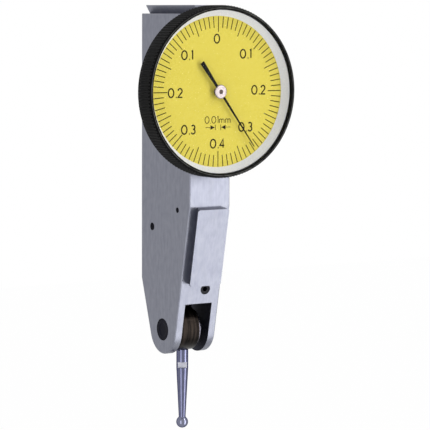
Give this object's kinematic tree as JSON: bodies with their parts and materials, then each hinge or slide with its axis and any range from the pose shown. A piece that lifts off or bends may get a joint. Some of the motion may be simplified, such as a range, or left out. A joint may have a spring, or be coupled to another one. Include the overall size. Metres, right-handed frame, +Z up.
{
  "type": "dial test indicator",
  "caption": "Lever dial test indicator with a yellow dial in a knurled black rim, dovetail rails and a swivelling ball-ended stylus.",
  "frame": {"origin": "middle of the flat top of the top dovetail rail, by which the indicator is held", "axes": "+X to the right as the dial is read, +Y to the back along the top rail, +Z up"},
  "size_m": [0.028, 0.0212, 0.0711],
  "materials": {
    "hard_chrome": "satin brushed",
    "black_steel": "satin black oxide",
    "bright_steel": "polished",
    "grey_steel": "fine ground",
    "black_bezel": "black, knurled",
    "white_ring": "satin silver white",
    "yellow_dial": "matt yellow with dark print",
    "pointer_black": "matt",
    "hub_metal": "turned",
    "crystal": "clear",
    "case_metal": "turned",
    "brass": "fine ground",
    "spring_bronze": "rolled",
    "ball_metal": "polished"
  },
  "bodies": {
    "body": {"housing": "hard_chrome", "frame_screw": "bright_steel", "sector_pivot_screw": "bright_steel", "bridge_screw": "black_steel", "dial_case": "case_metal", "dial_case_screws": "bright_steel", "bezel_wire": "bright_steel", "pointer_bush": "brass", "hairspring": "spring_bronze", "hairspring_stud": "brass", "pointer_cock": "brass", "cock_screws": "bright_steel", "movement_plate_left": "brass", "movement_plate_right": "brass", "movement_pillars": "brass", "movement_screws": "bright_steel", "stop_pins": "bright_steel", "bearing_ring_left": "bright_steel", "bearing_ring_right": "bright_steel", "bearing_balls_left": "ball_metal", "bearing_balls_right": "ball_metal", "bearing_cap_left": "black_steel", "bearing_cap_right": "black_steel"},
    "bezel": {"bezel": "black_bezel", "crystal": "crystal", "reflector_ring": "white_ring", "dial_plate": "yellow_dial"},
    "pointer": {"pointer": "pointer_black", "pointer_hub": "hub_metal", "pointer_arbor": "bright_steel", "pointer_pinion": "bright_steel", "hairspring_collet": "brass"},
    "crown": {"crown_staff": "bright_steel", "crown_pinion": "bright_steel", "crown_wheel": "brass"},
    "sector": {"sector_staff": "bright_steel", "sector_gear": "brass"},
    "lever": {"lever_plate": "grey_steel", "lever_pin": "bright_steel", "lever_shaft": "bright_steel", "friction_washer": "bright_steel", "friction_nut": "bright_steel"},
    "stylus": {"stylus_drum": "black_steel", "stylus_stem": "bright_steel", "contact_ball": "ball_metal"}
  },
  "joints": [
    {"name": "bezel_turn", "type": "hinge", "parent": "body", "child": "bezel", "pos_m": [0, -0.01022, -0.014], "axis": [0, 1, 0], "continuous": true},
    {"name": "lever_swing", "type": "hinge", "parent": "body", "child": "lever", "pos_m": [0, 0.00078, -0.0541], "axis": [1, 0, 0], "range_deg": [-1.43, 1.43], "stiffness_Nm_per_rad": 0.03},
    {"name": "stylus_swivel", "type": "hinge", "parent": "lever", "child": "stylus", "pos_m": [0, 0.00078, -0.0541], "axis": [1, 0, 0], "range_deg": [-105, 105]},
    {"name": "sector_swing", "type": "hinge", "parent": "body", "child": "sector", "pos_m": [0, 0.00418, -0.03705], "axis": [1, 0, 0], "range_deg": [-2.96, 2.96]},
    {"name": "crown_turn", "type": "hinge", "parent": "body", "child": "crown", "pos_m": [0, 0.00154, -0.014], "axis": [1, 0, 0], "range_deg": [-39.61, 39.61]},
    {"name": "pointer_turn", "type": "hinge", "parent": "body", "child": "pointer", "pos_m": [0, -0.01022, -0.014], "axis": [0, 1, 0], "range_deg": [-182.18, 182.18], "deforming": ["hairspring"]}
  ],
  "couplings": [
    {"joint": "sector_swing", "follows": "lever_swing", "ratio": -2},
    {"joint": "crown_turn", "follows": "lever_swing", "ratio": 27},
    {"joint": "pointer_turn", "follows": "lever_swing", "ratio": -126}
  ]
}
